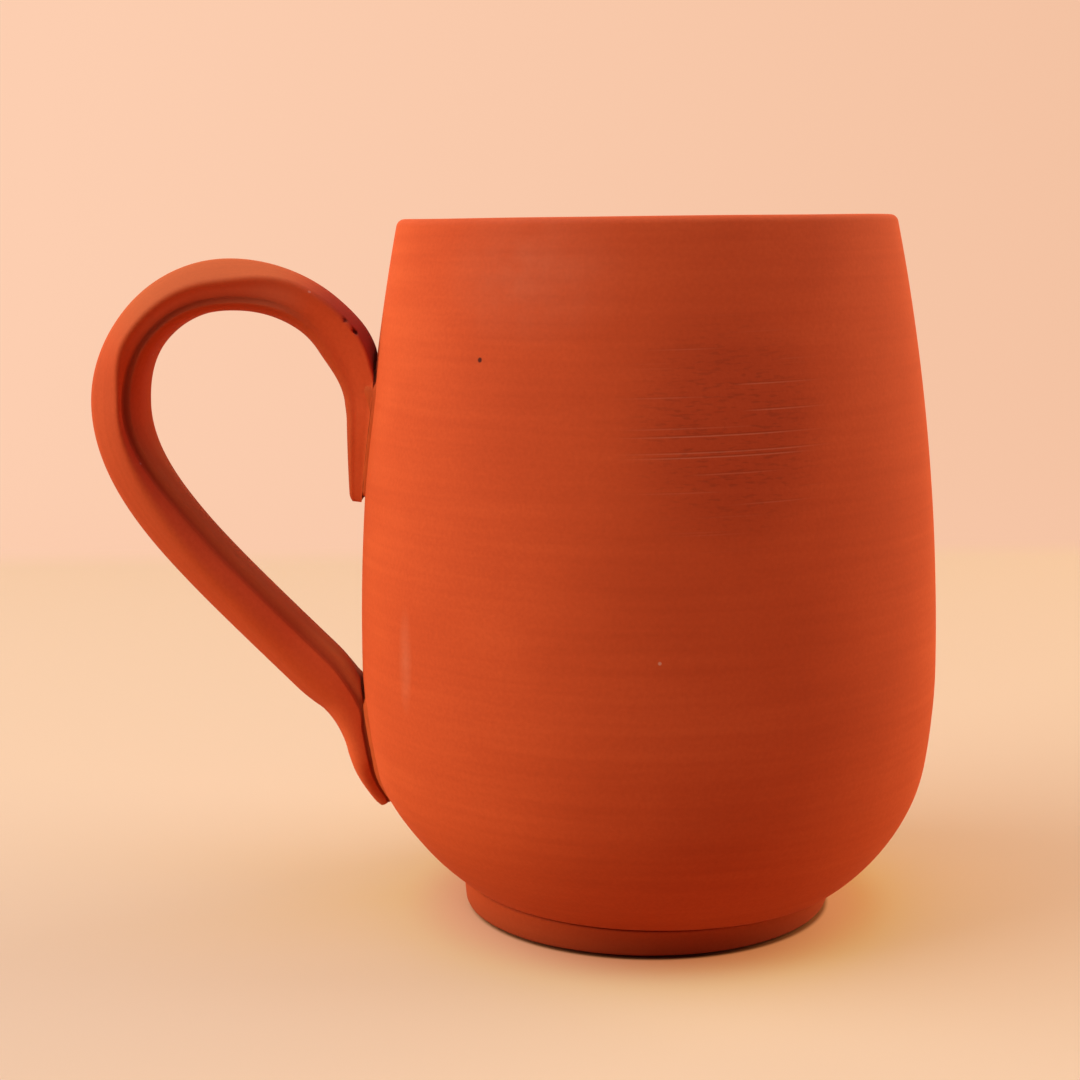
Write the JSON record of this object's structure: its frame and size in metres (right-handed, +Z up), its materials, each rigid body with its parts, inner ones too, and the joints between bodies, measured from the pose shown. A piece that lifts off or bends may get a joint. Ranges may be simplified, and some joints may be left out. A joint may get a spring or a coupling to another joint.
{
  "type": "clay cup",
  "caption": "Footed barrel cup of unglazed red earthenware, with a pulled strap handle luted to one side, for hot tea and other drinks.",
  "frame": {"origin": "middle of the foot ring's standing face, on the table and on the cup's axis", "axes": "+Z up along the cup's axis, -X towards the handle, which lies in the XZ plane; the picture looks along +Y"},
  "size_m": [0.1209, 0.083, 0.1],
  "materials": {
    "terracotta": "matte, unglazed, fired red earthenware",
    "slip": "matte, fired slip of the same clay"
  },
  "bodies": {
    "root": {"cup_body": "terracotta", "foot_ring": "terracotta", "foot_joint_slip": "slip", "handle": "terracotta", "upper_joint_slip": "slip", "lower_joint_slip": "slip"}
  },
  "joints": []
}
